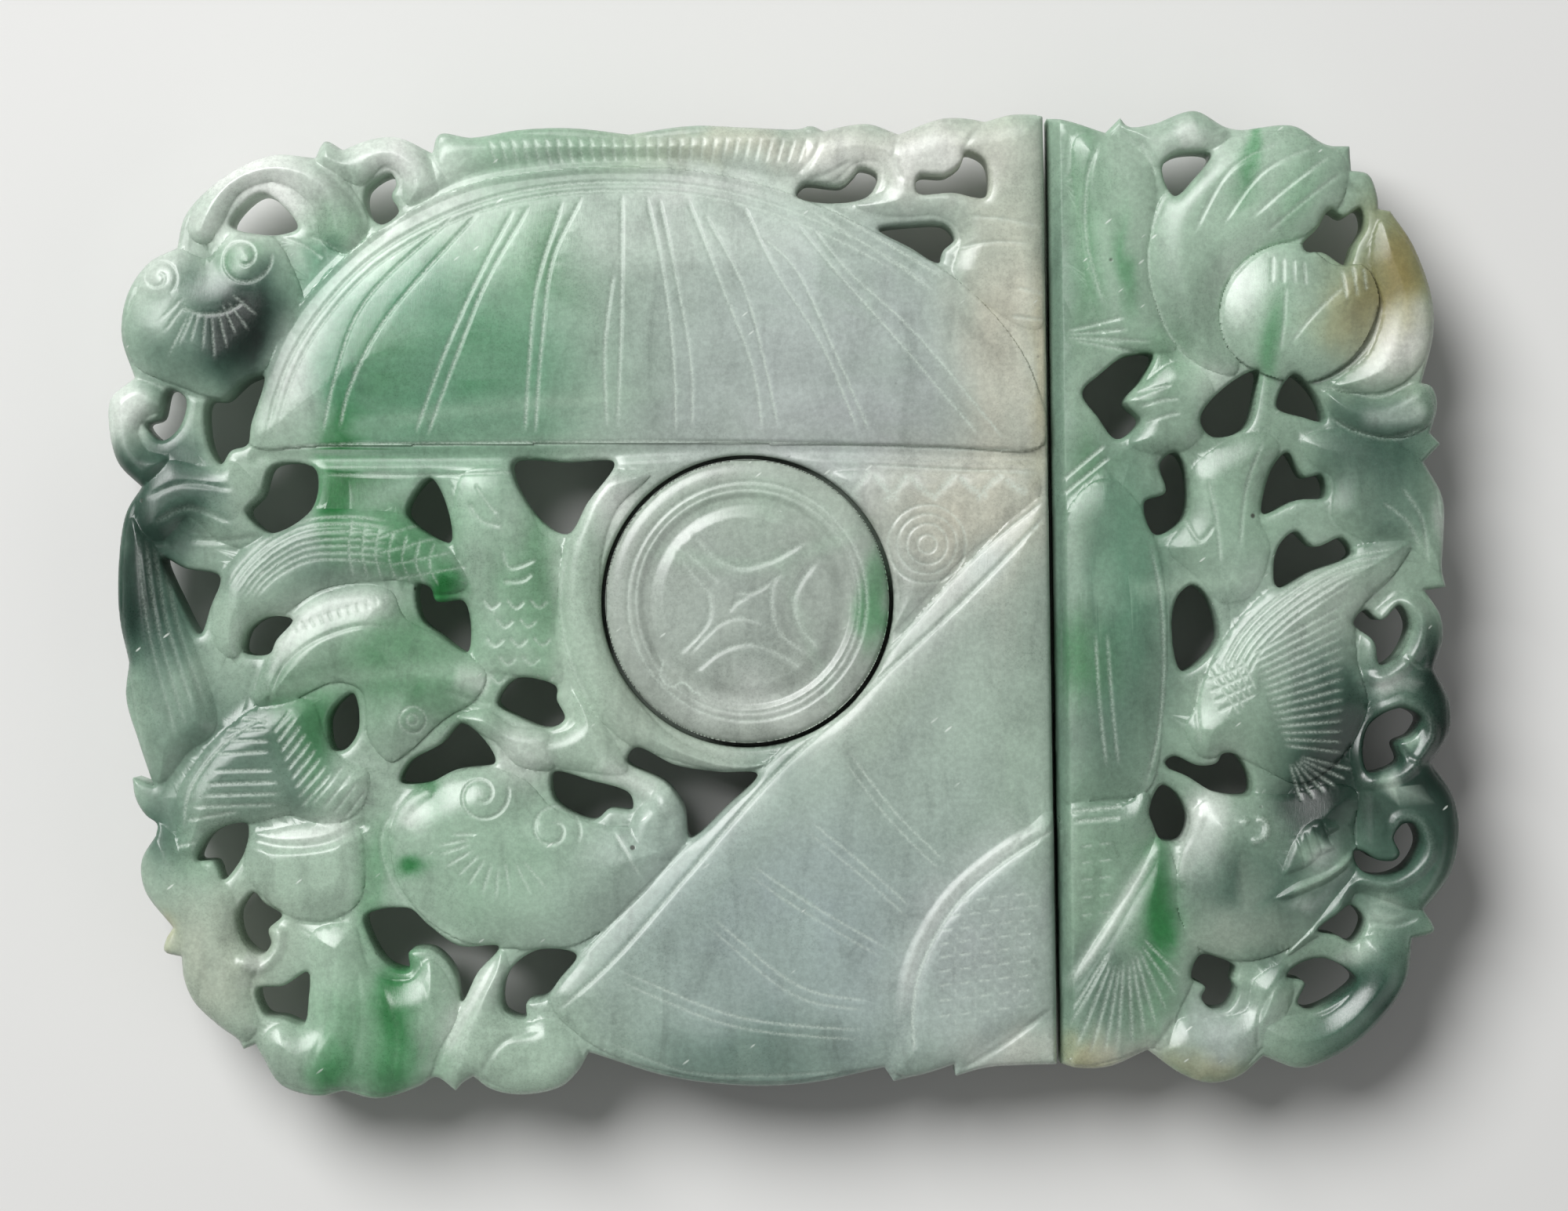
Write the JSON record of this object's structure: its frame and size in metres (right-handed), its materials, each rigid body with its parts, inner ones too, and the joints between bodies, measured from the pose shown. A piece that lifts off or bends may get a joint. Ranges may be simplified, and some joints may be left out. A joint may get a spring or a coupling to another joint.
{
  "type": "chinese jade belt buckle",
  "caption": "Pierced and carved jade belt buckle in two plaques that lock by a round coin boss in a round aperture, with belt studs behind.",
  "frame": {"origin": "middle of the bounding box, at the level of the belt studs' flat faces that it lies on", "axes": "+X along the belt from the receiver to the tongue half, +Y up the front view, +Z out of the carved face"},
  "size_m": [0.09, 0.0658, 0.0104],
  "materials": {
    "receiver_jade": "polished jadeite, pale grey green to lavender with green veins and frosted engraving",
    "tongue_jade": "polished jadeite, grey green with emerald streaks, dark green edge and a russet spot"
  },
  "bodies": {
    "tongue_half": {"tongue_plaque": "tongue_jade"},
    "receiver": {"receiver_plaque": "receiver_jade"}
  },
  "joints": [
    {"name": "receiver_lift", "type": "slide", "parent": "tongue_half", "child": "receiver", "axis": [0, 0, 1], "range_m": [0, 0.008]}
  ]
}
